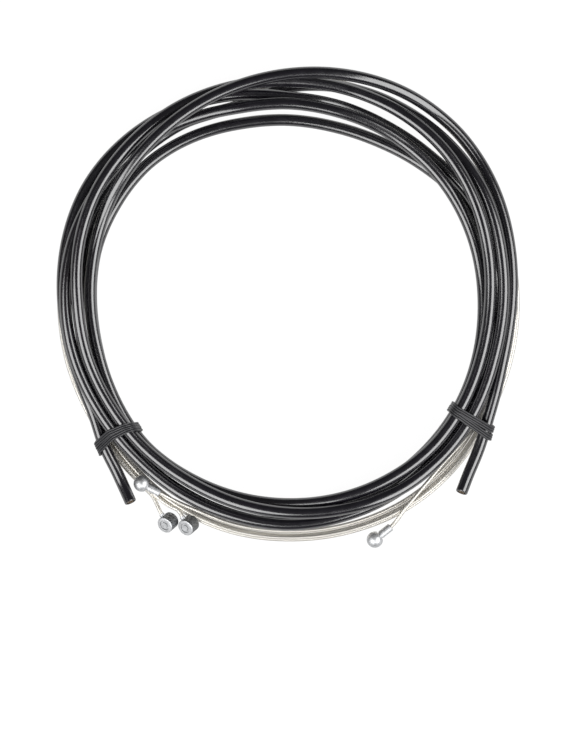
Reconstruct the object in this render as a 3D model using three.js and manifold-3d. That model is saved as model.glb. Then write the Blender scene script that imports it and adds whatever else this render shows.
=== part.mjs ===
// A bicycle brake cable as it is sold: one coil of black outer housing, two stainless inner wires laid in
// with it, each with a barrel head and a pear head, and two twist ties that hold the bundle.
// It lies flat on the floor, in millimetres, with Z up and the middle of its box over the origin.
import * as THREE from 'three'
import { mergeVertices } from 'three/addons/utils/BufferGeometryUtils.js'
import Module from 'manifold-3d'

const wasm = await Module()
wasm.setup()

// Outer housing: a jacket over a winding of flat steel wire over a plastic liner
const housingDiameter = 5
const housingBore = 3.9
const windingWall = 0.45
const flatWireWidth = 1.5
const flatWirePitch = 1.9
const linerWall = 0.2
const layerClearance = 0.12
const openEndLength = 6.6
const linerStep = 0.3

// Inner wires and their heads
const wireDiameter = 1.6
const barrelDiameter = 7
const barrelLength = 5.6
const barrelChamfer = 0.4
const barrelHubRadius = 1.2
const barrelGrooveWidth = 0.9
const barrelGrooveDepth = 0.3
const pearDiameter = 6.8
const pearHeight = 6.8
const shankDiameter = 3.5
const shankLength = 5.4
const shankEdge = 0.3
const neckDiameter = 2.9
const neckLength = 0.5
const ballStart = THREE.MathUtils.degToRad(-50)
const ballRows = 5
const headHoleDepth = 3
const headHoleClearance = 0.3

// Twist ties
const tieWidth = 2.7
const tieThickness = 0.8
const tieRidge = 0.2
const tieRidgeCount = 3
const tieClearance = 0.3

// The lay of the bundle
const housingGap = 0.3
const wireGap = 0.15
const wirePitch = wireDiameter + wireGap
const housingSides = 8
const wireSides = 8
const headSides = 14
const boreSides = 12

// The distances from the middle of the coil are given for 5 mm housing, and the coil grows with it.
const coilScale = housingDiameter / 5

// The housing winds clockwise, seen from above, and each row is one turn from 270 degrees back to 270.
// A row gives the distance of the strand from the middle of the coil every 15 degrees. The first turn
// starts at 225 degrees and the last one stops at 315, and each end then runs outwards.
const layStep = 15
const columnCount = 360 / layStep
const turnRadii = [
  [102, 102, 102, 100.2, 93.2, 92.3, 93.6, 95.5, 96.6, 95.4, 92.7, 89,
    85.1, 84.3, 83.9, 84.7, 87.4, 88, 87.6, 87.6, 87.6, 88.2, 89.9, 90.9],
  [91.7, 91, 90.4, 89.7, 90.2, 91.4, 92.4, 92.9, 92, 90.2, 86.7, 83.2,
    82.2, 81.4, 81.5, 81.4, 81.1, 80.8, 80.6, 81.2, 82.3, 83.3, 84.4, 85.5],
  [86.2, 85.4, 84.7, 84.3, 83.5, 81.9, 82.2, 83.2, 83, 82.4, 80, 77.4,
    76.2, 75.8, 77.1, 80.2, 83.8, 84, 83.5, 83.2, 83.9, 86.4, 88.8, 90.7],
  [91.7, 90.9, 90, 89.6, 88.8, 87.3, 87.6, 88.5, 88.3, 87.8, 86.8, 84.6,
    89.7, 92.4, 93.3, 93.4, 92.6, 90.1, 88.4, 87.6, 88.6, 89.4, 89.5, 87.9],
  [86.5, 85.3, 84.4, 84.6, 85, 86.2, 87.2, 89.7, 91.7, 92.5, 92.8, 92.2,
    91.5, 91.5, 91.2, 90.1, 87.6, 84.9, 82.9, 82.3, 83, 83.8, 83.6, 83.3],
  [83.1, 83.2, 83.4, 83.8, 82.6, 81.7, 82.3, 83.6, 85.2, 86.7, 88.8, 91.3,
    94, 96.8, 99.2, 99.6, 97.5, 94.4, 92, 91.5, 95.2, 103, 108, 108],
]
// Which strand lies over which where they cross: one digit for each radius above, and a strand with a
// higher digit lies over every strand with a lower one.
const turnLayers = [
  '222222222222222222222222',
  '333333333333333333333222',
  '111111111111111111111111',
  '111111111111144444444666',
  '555555555555555555555555',
  '444444446666666333333333',
]
const bottomHousingLayer = 10
const housingStart = 45
const housingStop = 5 * 360 + 307.5
// The free ends run outwards from the outer stations, and stand up by their rise above them.
const startTail = [
  { angle: 231.5, radius: 105.2, rise: 3.1 },
  { angle: 226.5, radius: 101.2, rise: 0.3 },
]
const stopTail = [
  { angle: 316, radius: 102.8, rise: 1 },
  { angle: 312.3, radius: 105.8, rise: 3.1 },
]

// The inner wires wind the other way, in lanes side by side on the floor, under the housing. This is the
// distance of the lanes from the middle of the coil every 15 degrees from 0.
const laneRadii = [
  93, 93, 92.6, 91.7, 92.1, 92.1, 91.7, 90.7, 91.3, 93.2, 93.6, 93.4,
  92.4, 92.1, 91.9, 93, 95, 96.3, 96.5, 96.7, 96.7, 95.5, 93.8, 93.2,
]
const laneSeam = 236
const laneRest = 0.15
const laneDrift = 0.8
const topWireLayer = 3

// Each wire starts at its pear head and stops at its barrel head. The shifts move its first stations out
// of their lane, the lifts hold them up, and they lie over the other wires. The exit turns it to its barrel.
const longWire = {
  layer: 1,
  lane: 0,
  first: 240,
  last: 232.5 + 1080,
  startShifts: [1.35],
  startLifts: [6, 4.2, 2],
  stationsOver: 2,
  exit: { angle: 234.2, radius: 97.9, height: 2.8 },
  pear: { angle: 235.8, radius: 95.1, ball: { angle: 230.65, radius: 96.5 } },
  barrel: { angle: 239.3, radius: 102.6 },
}
const shortWire = {
  layer: 2,
  lane: wirePitch / 2,
  first: 300,
  last: 240 + 720,
  startShifts: [1.7, -1.5, -2.6, -1.4],
  startLifts: [pearDiameter / 2, pearDiameter / 2],
  stationsOver: 4,
  exit: { angle: 241.7, radius: 97.4, height: 4.2 },
  pear: { angle: 294.5, radius: 102, ball: { angle: 290.2, radius: 104.3 } },
  barrel: { angle: 243.9, radius: 99.5 },
}
const barrelFace = new THREE.Vector3(-0.5, -0.42, 0.755).normalize()

// Each tie is a ribbon in two wraps. A wrap's drift says how far it lies to the side of the tie's middle
// at the inner and the outer edge of the bundle, and its rise lifts it over the wrap before it.
const secondWrapRise = 0.15
const ties = [
  {
    name: 'twist_tie_left',
    angle: 217.3,
    wraps: [
      { inner: -0.3, outer: -1.5, rise: 0 },
      { inner: 0.3, outer: 1.5, rise: secondWrapRise },
    ],
  },
  {
    name: 'twist_tie_right',
    angle: 327.4,
    wraps: [
      { inner: -0.9, outer: -1.6, rise: 0 },
      { inner: 0.9, outer: 1.6, rise: secondWrapRise },
    ],
  },
]
const tieReach = 2.2
const tieLift = tieClearance + tieThickness + tieRidge + secondWrapRise
const liftedReach = 8
const tieDirections = 16
const tieRingRadius = 10

const stationStep = 7.5
const smoothReach = 1
const settleRounds = 80
const settleTolerance = 0.001
const mergeTolerance = 1e-4
const straightTolerance = 1e-6
const crossingSamples = [0, 0.25, 0.5, 0.75, 1]

const materials = {
  housing: new THREE.MeshStandardMaterial({ color: 0x1d1c20, roughness: 0.35, metalness: 0 }),
  winding: new THREE.MeshStandardMaterial({ color: 0x8d8378, roughness: 0.4, metalness: 1 }),
  liner: new THREE.MeshStandardMaterial({ color: 0xb9a58c, roughness: 0.5, metalness: 0 }),
  wire: new THREE.MeshStandardMaterial({ color: 0xa7a29a, roughness: 0.35, metalness: 1 }),
  head: new THREE.MeshStandardMaterial({ color: 0x77777a, roughness: 0.5, metalness: 1 }),
  tie: new THREE.MeshStandardMaterial({ color: 0x3b3a3d, roughness: 0.5, metalness: 0 }),
}

const object = new THREE.Group()

function addMesh(name, geometry, material) {
  const mesh = new THREE.Mesh(geometry, material)
  mesh.name = name
  object.add(mesh)
  return mesh
}

// Angles and places

function wrapAngle(angle) {
  return ((angle % 360) + 360) % 360
}

function angleBetween(a, b) {
  const turn = wrapAngle(a - b)
  return Math.min(turn, 360 - turn)
}

function mix(a, b, share) {
  return a + (b - a) * share
}

function placeAt(angle, radius, height) {
  const turn = THREE.MathUtils.degToRad(angle)
  return new THREE.Vector3(radius * Math.cos(turn), radius * Math.sin(turn), height)
}

// A place outside the lay, whose distance is given for 5 mm housing.
function placeBeside(angle, radius, height) {
  return placeAt(angle, radius * coilScale, height)
}

function readSmoothly(values, at) {
  const i = Math.min(Math.max(Math.floor(at), 0), values.length - 2)
  const t = at - i
  const a = values[Math.max(i - 1, 0)]
  const b = values[i]
  const c = values[i + 1]
  const d = values[Math.min(i + 2, values.length - 1)]
  return 0.5 * (2 * b + (c - a) * t + (2 * a - 5 * b + 4 * c - d) * t ** 2 + (3 * b - a - 3 * c + d) * t ** 3)
}

// How high a station must lie for the ties to pass under it.
function liftAt(angle) {
  const tied = ties.some((tie) => angleBetween(angle, tie.angle) <= liftedReach)
  return tied ? tieLift : 0
}

// The strands, before they are laid on each other

function housingStrand() {
  const radii = turnRadii.flat()
  const layers = turnLayers.join('')
  const stations = []
  for (let turned = housingStart; turned <= housingStop; turned += stationStep) {
    const pass = Math.floor(turned / 360)
    const column = Math.min(columnCount - 1, Math.round((turned % 360) / layStep))
    stations.push({
      angle: 270 - turned,
      radius: readSmoothly(radii, turned / layStep) * coilScale,
      floor: housingDiameter / 2 + liftAt(270 - turned),
      layer: bottomHousingLayer + Number(layers[pass * columnCount + column]),
      pass,
    })
  }
  return { diameter: housingDiameter, gap: housingGap, stations }
}

function laneAt(angle) {
  const ring = [laneRadii.at(-1), ...laneRadii, laneRadii[0], laneRadii[1]]
  return readSmoothly(ring, wrapAngle(angle) / layStep + 1) * coilScale
}

function laneOffset(angle) {
  const turn = (angle - laneSeam) / 360
  const whole = Math.floor(turn)
  const drifted = THREE.MathUtils.clamp((turn - whole - laneRest) / laneDrift, 0, 1)
  return wirePitch * (whole - 1 + drifted)
}

function wireStrand(wire) {
  const stations = []
  for (let angle = wire.first; angle <= wire.last; angle += stationStep) {
    const fromStart = (angle - wire.first) / stationStep
    const shift = wire.startShifts[fromStart] ?? 0
    const lift = wire.startLifts[fromStart] ?? 0
    stations.push({
      angle,
      radius: laneAt(angle) + laneOffset(angle) + wire.lane + shift,
      floor: Math.max(wireDiameter / 2 + liftAt(angle), lift),
      layer: fromStart < wire.stationsOver ? topWireLayer : wire.layer,
      pass: Math.floor((angle - wire.first) / 360),
    })
  }
  return { diameter: wireDiameter, gap: wireGap, stations }
}

// Lay the strands: raise each one until it clears every strand that it lies over, and smooth its climb.
// All the strands have their stations at the same angles, so they keep their gaps between them too.
function layStrands(strands) {
  const spans = new Map()
  for (const strand of strands) {
    for (const station of strand.stations) {
      station.strand = strand
      station.height = station.floor
    }
    for (let i = 0; i + 1 < strand.stations.length; i++) {
      const pair = [strand.stations[i], strand.stations[i + 1]]
      pair.sort((a, b) => a.angle - b.angle)
      const key = Math.round(wrapAngle(pair[0].angle) / stationStep)
      spans.set(key, [...(spans.get(key) ?? []), pair])
    }
  }
  for (let round = 0; round < settleRounds; round++) {
    for (const strand of strands) {
      for (const station of strand.stations) station.need = station.floor
    }
    for (const span of spans.values()) raiseSpan(span)
    const moved = Math.max(...strands.map(smoothStrand))
    if (moved < settleTolerance) return
  }
  throw new Error('the strands do not settle')
}

function liesOver(upper, lower) {
  if (upper.layer !== lower.layer) return upper.layer > lower.layer
  return upper.strand === lower.strand && upper.pass > lower.pass
}

function raiseSpan(span) {
  for (const upper of span) {
    for (const lower of span) {
      if (upper === lower) continue
      for (const share of crossingSamples) {
        const end = share <= 0.5 ? 0 : 1
        if (!liesOver(upper[end], lower[end])) continue
        const { strand } = upper[0]
        const under = lower[0].strand
        const gap = Math.min(strand.gap, under.gap)
        const reach = (strand.diameter + under.diameter) / 2 + gap
        const upperRadius = mix(upper[0].radius, upper[1].radius, share)
        const lowerRadius = mix(lower[0].radius, lower[1].radius, share)
        const aside = Math.abs(upperRadius - lowerRadius)
        if (aside >= reach) continue
        const need = mix(lower[0].height, lower[1].height, share) + Math.sqrt(reach ** 2 - aside ** 2)
        for (const station of upper) station.need = Math.max(station.need, need)
      }
    }
  }
}

function smoothStrand({ stations }) {
  const last = stations.length - 1
  const near = (i) => stations.slice(Math.max(i - smoothReach, 0), Math.min(i + smoothReach, last) + 1)
  stations.forEach((station, i) => {
    station.widened = Math.max(...near(i).map((other) => other.need))
  })
  let moved = 0
  stations.forEach((station, i) => {
    const around = near(i)
    const height = around.reduce((sum, other) => sum + other.widened, 0) / around.length
    moved = Math.max(moved, Math.abs(height - station.height))
    station.height = height
  })
  return moved
}

// Solids

function toSolid(geometry) {
  const bare = geometry.clone()
  bare.deleteAttribute('normal')
  bare.deleteAttribute('uv')
  const merged = mergeVertices(bare, mergeTolerance)
  const mesh = new wasm.Mesh({
    numProp: 3,
    vertProperties: merged.attributes.position.array,
    triVerts: new Uint32Array(merged.index.array),
  })
  return new wasm.Manifold(mesh)
}

function toGeometry(solid) {
  const { vertProperties, triVerts } = solid.getMesh()
  const geometry = new THREE.BufferGeometry()
  geometry.setAttribute('position', new THREE.BufferAttribute(new Float32Array(vertProperties), 3))
  geometry.setIndex(new THREE.BufferAttribute(new Uint32Array(triVerts), 1))
  geometry.computeVertexNormals()
  return geometry
}

// A curve whose even steps fall on its own points, so that a tube's rings sit exactly on the stations.
class Route extends THREE.CatmullRomCurve3 {
  constructor(points) {
    super(points, false, 'catmullrom')
  }

  getUtoTmapping(share) {
    return share
  }
}

function cordGeometry(points, diameter, sides) {
  const corners = []
  for (let i = 0; i < sides; i++) {
    const turn = (i / sides) * 2 * Math.PI
    corners.push(new THREE.Vector2(Math.cos(turn), Math.sin(turn)).multiplyScalar(diameter / 2))
  }
  return new THREE.ExtrudeGeometry(new THREE.Shape(corners), {
    steps: points.length - 1,
    extrudePath: new Route(points),
    bevelEnabled: false,
  })
}

// A cylinder from a point along a direction, for cutting a hole.
function drill(start, direction, radius, depth) {
  const overshoot = 1
  const length = depth + overshoot
  const geometry = new THREE.CylinderGeometry(radius, radius, length, boreSides)
  geometry.rotateX(Math.PI / 2)
  geometry.translate(0, 0, depth - length / 2)
  geometry.applyQuaternion(new THREE.Quaternion().setFromUnitVectors(new THREE.Vector3(0, 0, 1), direction))
  geometry.translate(start.x, start.y, start.z)
  return toSolid(geometry)
}

// The open end of the housing: the jacket is bored, and the winding and the liner show in the bore.

function windingGeometry() {
  const outer = housingBore / 2 - layerClearance
  const stepsPerTurn = 10
  const turns = (openEndLength - flatWireWidth) / flatWirePitch
  const section = new THREE.Shape([
    new THREE.Vector2(0, 0),
    new THREE.Vector2(flatWireWidth, 0),
    new THREE.Vector2(flatWireWidth, windingWall),
    new THREE.Vector2(0, windingWall),
  ])
  const steps = Math.round(turns * stepsPerTurn)
  const ribbon = new THREE.ExtrudeGeometry(section, { depth: 1, steps, bevelEnabled: false })
  const corners = ribbon.attributes.position
  for (let i = 0; i < corners.count; i++) {
    const turn = corners.getZ(i) * turns * 2 * Math.PI
    const radius = outer - windingWall + corners.getY(i)
    const along = corners.getX(i) + corners.getZ(i) * turns * flatWirePitch
    corners.setXYZ(i, radius * Math.cos(turn), radius * Math.sin(turn), along)
  }
  return ribbon
}

function linerGeometry() {
  const outer = housingBore / 2 - 2 * layerClearance - windingWall
  const profile = [
    new THREE.Vector2(outer - linerWall, 0),
    new THREE.Vector2(outer, 0),
    new THREE.Vector2(outer, openEndLength),
    new THREE.Vector2(outer - linerWall, openEndLength),
    new THREE.Vector2(outer - linerWall, 0),
  ]
  return new THREE.LatheGeometry(profile, boreSides).rotateX(Math.PI / 2)
}

function addHousing(strand) {
  const first = strand.stations[0].height
  const last = strand.stations.at(-1).height
  const points = [
    ...startTail.map((point) => placeBeside(point.angle, point.radius, first + point.rise)),
    ...strand.stations.map((point) => placeAt(point.angle, point.radius, point.height)),
    ...stopTail.map((point) => placeBeside(point.angle, point.radius, last + point.rise)),
  ]
  let jacket = toSolid(cordGeometry(points, housingDiameter, housingSides))
  const ends = [
    { side: 'left', tip: points[0], inside: points[1] },
    { side: 'right', tip: points.at(-1), inside: points.at(-2) },
  ]
  for (const { side, tip, inside } of ends) {
    const inwards = inside.clone().sub(tip).normalize()
    jacket = jacket.subtract(drill(tip, inwards, housingBore / 2, openEndLength + linerStep))
    const turned = new THREE.Quaternion().setFromUnitVectors(new THREE.Vector3(0, 0, 1), inwards)
    const winding = addMesh(`housing_winding_${side}`, windingGeometry(), materials.winding)
    winding.position.copy(tip).addScaledVector(inwards, linerStep / 2)
    winding.quaternion.copy(turned)
    const liner = addMesh(`housing_liner_${side}`, linerGeometry(), materials.liner)
    liner.position.copy(tip)
    liner.quaternion.copy(turned)
  }
  addMesh('housing_jacket', toGeometry(jacket), materials.housing)
}

// Heads

function barrelGeometry() {
  const half = barrelLength / 2
  const radius = barrelDiameter / 2
  const rim = barrelHubRadius + barrelGrooveWidth
  const upper = [
    new THREE.Vector2(radius, half - barrelChamfer),
    new THREE.Vector2(radius - barrelChamfer, half),
    new THREE.Vector2(rim, half),
    new THREE.Vector2(rim, half - barrelGrooveDepth),
    new THREE.Vector2(barrelHubRadius, half - barrelGrooveDepth),
    new THREE.Vector2(barrelHubRadius, half),
    new THREE.Vector2(0, half),
  ]
  const lower = upper.map((point) => new THREE.Vector2(point.x, -point.y)).reverse()
  return new THREE.LatheGeometry([...lower, ...upper], headSides)
}

function pearGeometry() {
  const shank = shankDiameter / 2
  const neckTop = shankLength + neckLength
  const ballBase = Math.sin(ballStart) * (pearHeight / 2)
  const profile = [
    new THREE.Vector2(0, 0),
    new THREE.Vector2(shank - shankEdge, 0),
    new THREE.Vector2(shank, shankEdge),
    new THREE.Vector2(shank, shankLength),
    new THREE.Vector2(neckDiameter / 2, shankLength),
    new THREE.Vector2(neckDiameter / 2, neckTop),
  ]
  for (let i = 0; i <= ballRows; i++) {
    const turn = mix(ballStart, Math.PI / 2, i / ballRows)
    const out = Math.cos(turn) * (pearDiameter / 2)
    const up = Math.sin(turn) * (pearHeight / 2)
    profile.push(new THREE.Vector2(Math.max(out, 0), neckTop + up - ballBase))
  }
  profile.at(-1).x = 0
  return new THREE.LatheGeometry(profile, headSides)
}

// The height at which a pear head comes to rest on the strands under it, or on the floor. The samples run
// from beyond the ball's middle to the end of the shank.
function pearLevelAt(wire, strands) {
  const { angle, radius, ball } = wire.pear
  const samples = 8
  let level = pearDiameter / 2
  for (let i = 0; i < samples; i++) {
    const share = mix(-0.4, 1, i / (samples - 1))
    const thickness = share < 0.5 ? pearDiameter : shankDiameter
    for (const circle of sectionAt(strands, mix(ball.angle, angle, share))) {
      const reach = thickness / 2 + circle.size + housingGap
      const aside = Math.abs(circle.radius - mix(ball.radius, radius, share) * coilScale)
      if (aside < reach) level = Math.max(level, circle.height + Math.sqrt(reach ** 2 - aside ** 2))
    }
  }
  return level
}

function addHeads(name, wire, strand, strands) {
  const pearLevel = pearLevelAt(wire, strands)
  const shankEnd = placeBeside(wire.pear.angle, wire.pear.radius, pearLevel)
  const ball = placeBeside(wire.pear.ball.angle, wire.pear.ball.radius, pearLevel)
  const toBall = ball.sub(shankEnd).normalize()
  const holeRadius = wireDiameter / 2 + headHoleClearance
  const inHead = headHoleDepth - headHoleClearance

  const origin = new THREE.Vector3()
  const up = new THREE.Vector3(0, 1, 0)
  const pear = toSolid(pearGeometry()).subtract(drill(origin, up, holeRadius, headHoleDepth))
  const pearMesh = addMesh(`${name}_pear_head`, toGeometry(pear), materials.head)
  pearMesh.position.copy(shankEnd)
  pearMesh.quaternion.setFromUnitVectors(up, toBall)

  const faceHeight = (barrelLength / 2) * barrelFace.z
  const rimHeight = (barrelDiameter / 2) * Math.sqrt(1 - barrelFace.z ** 2)
  const before = placeBeside(wire.exit.angle, wire.exit.radius, wire.exit.height)
  const attach = placeBeside(wire.barrel.angle, wire.barrel.radius, faceHeight + rimHeight)
  const outwards = attach.clone().sub(before)
  outwards.addScaledVector(barrelFace, -outwards.dot(barrelFace)).normalize()
  const centre = attach.clone().addScaledVector(outwards, barrelDiameter / 2)
  centre.z = faceHeight + rimHeight
  attach.copy(centre).addScaledVector(outwards, -barrelDiameter / 2)

  const rim = new THREE.Vector3(-barrelDiameter / 2, 0, 0)
  const across = new THREE.Vector3(1, 0, 0)
  const hole = drill(rim, across, holeRadius, headHoleDepth)
  const barrel = toSolid(barrelGeometry()).subtract(hole)
  const barrelMesh = addMesh(`${name}_barrel_head`, toGeometry(barrel), materials.head)
  const side = outwards.clone().cross(barrelFace)
  barrelMesh.quaternion.setFromRotationMatrix(new THREE.Matrix4().makeBasis(outwards, barrelFace, side))
  barrelMesh.position.copy(centre)

  const points = [
    shankEnd.clone().addScaledVector(toBall, inHead),
    shankEnd,
    ...strand.stations.map((point) => placeAt(point.angle, point.radius, point.height)),
    before,
    attach,
    attach.clone().addScaledVector(outwards, inHead),
  ]
  addMesh(name, cordGeometry(points, wireDiameter, wireSides), materials.wire)
}

// Ties

function sectionAt(strands, angle) {
  const circles = []
  for (const { diameter, stations } of strands) {
    for (let i = 0; i + 1 < stations.length; i++) {
      const [low, high] = [stations[i], stations[i + 1]].sort((a, b) => a.angle - b.angle)
      const turn = wrapAngle(angle - low.angle)
      const share = turn / (high.angle - low.angle)
      if (share > 1) continue
      circles.push({
        radius: mix(low.radius, high.radius, share),
        height: mix(low.height, high.height, share),
        size: diameter / 2,
      })
    }
  }
  return circles
}

// The taut line round a section, as corners that each know which way they face.
function tautLine(circles, clearance) {
  const corners = []
  for (const circle of circles) {
    for (let i = 0; i < tieDirections; i++) {
      const turn = (i / tieDirections) * 2 * Math.PI
      const faces = new THREE.Vector2(Math.cos(turn), Math.sin(turn))
      const middle = new THREE.Vector2(circle.radius, circle.height)
      const place = middle.clone().addScaledVector(faces, circle.size + clearance)
      corners.push({ place, faces })
    }
  }
  corners.sort((a, b) => a.place.x - b.place.x || a.place.y - b.place.y)
  const half = (list) => {
    const kept = []
    for (const corner of list) {
      while (kept.length > 1 && !turnsLeft(kept.at(-2).place, kept.at(-1).place, corner.place)) kept.pop()
      kept.push(corner)
    }
    return kept.slice(0, -1)
  }
  return [...half(corners), ...half([...corners].reverse())]
}

function turnsLeft(a, b, c) {
  return (b.x - a.x) * (c.y - a.y) - (b.y - a.y) * (c.x - a.x) > straightTolerance
}

// One wrap of the ribbon: a ring with the ribbon's ridged section, drawn out to the taut line.
function wrapGeometry(line, tie, wrap) {
  const ridgePitch = tieWidth / tieRidgeCount
  const profile = [new THREE.Vector2(0, tieWidth / 2), new THREE.Vector2(0, -tieWidth / 2)]
  for (let i = 0; i < tieRidgeCount; i++) {
    const start = -tieWidth / 2 + i * ridgePitch
    profile.push(new THREE.Vector2(tieThickness, start))
    profile.push(new THREE.Vector2(tieThickness + tieRidge, start + ridgePitch / 2))
  }
  profile.push(new THREE.Vector2(tieThickness, tieWidth / 2))
  profile.push(profile[0].clone())
  for (const point of profile) point.x += tieRingRadius
  const ring = new THREE.LatheGeometry(profile, line.length)

  const inner = Math.min(...line.map((corner) => corner.place.x))
  const outer = Math.max(...line.map((corner) => corner.place.x))
  const places = ring.attributes.position
  for (let i = 0; i < places.count; i++) {
    const turn = Math.atan2(places.getX(i), places.getZ(i)) / (2 * Math.PI)
    const corner = line[(Math.round(turn * line.length) + line.length) % line.length]
    const out = Math.hypot(places.getX(i), places.getZ(i)) - tieRingRadius + wrap.rise
    const place = corner.place.clone().addScaledVector(corner.faces, out)
    const share = (corner.place.x - inner) / (outer - inner)
    const across = places.getY(i) + mix(wrap.inner, wrap.outer, share)
    const turned = THREE.MathUtils.degToRad(tie.angle)
    places.setXYZ(
      i,
      place.x * Math.cos(turned) + across * Math.sin(turned),
      place.x * Math.sin(turned) - across * Math.cos(turned),
      place.y,
    )
  }
  return ring
}

function addTie(tie, strands) {
  const circles = [-tieReach, 0, tieReach].flatMap((shift) => sectionAt(strands, tie.angle + shift))
  const line = tautLine(circles, tieClearance)
  const wraps = tie.wraps.map((wrap) => toSolid(wrapGeometry(line, tie, wrap)))
  const joined = wraps.reduce((whole, wrap) => whole.add(wrap))
  addMesh(tie.name, toGeometry(joined), materials.tie)
}

const housing = housingStrand()
const long = wireStrand(longWire)
const short = wireStrand(shortWire)
layStrands([housing, long, short])
addHousing(housing)
addHeads('long_inner_wire', longWire, long, [long, short])
addHeads('short_inner_wire', shortWire, short, [long, short])
for (const tie of ties) addTie(tie, [housing, long, short])

// Stand the bundle on the floor with the middle of its box over the origin.
object.updateMatrixWorld(true)
const box = new THREE.Box3().setFromObject(object, true)
const middle = box.getCenter(new THREE.Vector3())
for (const mesh of object.children) mesh.position.sub(new THREE.Vector3(middle.x, middle.y, box.min.z))

export default object
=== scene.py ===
# A coil of brake cable housing with two inner wires, their heads and two twist ties, seen from above.
import math

import bmesh
import bpy
from mathutils import Matrix, Vector


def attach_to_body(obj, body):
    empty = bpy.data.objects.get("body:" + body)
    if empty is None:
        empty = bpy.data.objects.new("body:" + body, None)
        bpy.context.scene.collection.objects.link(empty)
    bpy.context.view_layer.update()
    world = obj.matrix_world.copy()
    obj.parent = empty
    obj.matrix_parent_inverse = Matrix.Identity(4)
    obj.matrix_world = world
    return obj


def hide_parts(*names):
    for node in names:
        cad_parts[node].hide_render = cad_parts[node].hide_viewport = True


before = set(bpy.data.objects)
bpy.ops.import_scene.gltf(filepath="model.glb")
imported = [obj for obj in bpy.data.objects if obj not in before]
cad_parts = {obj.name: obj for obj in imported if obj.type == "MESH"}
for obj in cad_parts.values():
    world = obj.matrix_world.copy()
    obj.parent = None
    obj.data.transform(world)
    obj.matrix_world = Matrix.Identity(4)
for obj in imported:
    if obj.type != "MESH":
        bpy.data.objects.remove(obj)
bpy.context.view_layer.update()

scene = bpy.context.scene
mm = 0.001

# camera and light

view = {
    "middle": (0.87, -27.55),     # what the photo's middle looks at, in millimetres
    "distance": 1600,
    "frameLevel": 12,             # the height at which the frame is frameHeight tall
    "frameHeight": 309.9,
    "sensor": 24,
    "clip": (0.05, 20),
}
softboxes = [
    {
        "name": "leftSoftbox", "azimuth": 218.5, "elevation": 46,
        "wide": 1.16, "tall": 0.84, "power": 9.2,
    },
    {
        "name": "rightSoftbox", "azimuth": 343, "elevation": 46,
        "wide": 1.60, "tall": 0.84, "power": 12.8,
    },
]
studio = {
    "reach": 1.1, "world": 0.04, "floorSize": 6,
    "floorColour": (0.1, 0.1, 0.1, 1),         # under its glow, for the camera and for reflections
    "bounceColour": (0.85, 0.85, 0.85, 1),     # for the light that it throws back on the part
    "floorGlow": 0.96, "floorShine": 0.5,      # how strongly it glows to the camera and in reflections
}


def addCamera():
    x, y = view["middle"]
    bpy.ops.object.camera_add(location=(x * mm, y * mm, view["distance"] * mm))
    camera = bpy.context.object
    camera.name = "photoCamera"
    camera.rotation_euler = (0, 0, 0)
    camera.data.sensor_fit = "VERTICAL"
    camera.data.sensor_height = view["sensor"]
    camera.data.lens = view["sensor"] * (view["distance"] - view["frameLevel"]) / view["frameHeight"]
    camera.data.clip_start, camera.data.clip_end = view["clip"]
    scene.camera = camera


def addLights():
    for box in softboxes:
        around = math.radians(box["azimuth"])
        up = math.radians(box["elevation"])
        aside = math.cos(up)
        towards = Vector((math.cos(around) * aside, math.sin(around) * aside, math.sin(up)))
        bpy.ops.object.light_add(type="AREA", location=towards * studio["reach"])
        lamp = bpy.context.object
        lamp.name = box["name"]
        lamp.data.shape = "RECTANGLE"
        lamp.data.size = box["wide"]
        lamp.data.size_y = box["tall"]
        lamp.data.energy = box["power"]
        lamp.rotation_euler = towards.to_track_quat("Z", "Y").to_euler()
    world = bpy.data.worlds.new("studio")
    world.use_nodes = True
    world.node_tree.nodes["Background"].inputs["Color"].default_value = (1, 1, 1, 1)
    world.node_tree.nodes["Background"].inputs["Strength"].default_value = studio["world"]
    scene.world = world


def addFloor():
    bpy.ops.object.select_all(action="DESELECT")
    bpy.ops.mesh.primitive_plane_add(size=studio["floorSize"], location=(0, 0, 0))
    floor = bpy.context.object
    floor.name = "floor"
    material = bpy.data.materials.new("paleFloor")
    material.use_nodes = True
    nodes = material.node_tree.nodes
    links = material.node_tree.links
    nodes.clear()
    output = nodes.new("ShaderNodeOutputMaterial")
    seen = nodes.new("ShaderNodeMixShader")
    plain = nodes.new("ShaderNodeBsdfDiffuse")
    plain.inputs["Color"].default_value = studio["bounceColour"]
    shaded = nodes.new("ShaderNodeBsdfDiffuse")
    shaded.inputs["Color"].default_value = studio["floorColour"]
    glow = nodes.new("ShaderNodeEmission")
    both = nodes.new("ShaderNodeAddShader")
    rays = nodes.new("ShaderNodeLightPath")
    direct = nodes.new("ShaderNodeMath")
    direct.operation = "ADD"
    direct.use_clamp = True
    shine = nodes.new("ShaderNodeMath")
    shine.operation = "MULTIPLY"
    shine.inputs[1].default_value = studio["floorShine"]
    strength = nodes.new("ShaderNodeMath")
    strength.operation = "MULTIPLY_ADD"
    strength.inputs[1].default_value = studio["floorGlow"]
    links.new(rays.outputs["Is Glossy Ray"], shine.inputs[0])
    links.new(rays.outputs["Is Camera Ray"], strength.inputs[0])
    links.new(shine.outputs[0], strength.inputs[2])
    links.new(strength.outputs[0], glow.inputs["Strength"])
    links.new(rays.outputs["Is Camera Ray"], direct.inputs[0])
    links.new(rays.outputs["Is Glossy Ray"], direct.inputs[1])
    links.new(shaded.outputs[0], both.inputs[0])
    links.new(glow.outputs[0], both.inputs[1])
    links.new(direct.outputs[0], seen.inputs["Fac"])
    links.new(plain.outputs[0], seen.inputs[1])
    links.new(both.outputs[0], seen.inputs[2])
    links.new(seen.outputs[0], output.inputs["Surface"])
    floor.data.materials.append(material)


addCamera()
addLights()
addFloor()
scene.view_settings.view_transform = "Standard"
print("stage: camera, lights and floor are set")

# the lay of the bundle, which repeats the routes of the solids, in millimetres

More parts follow.
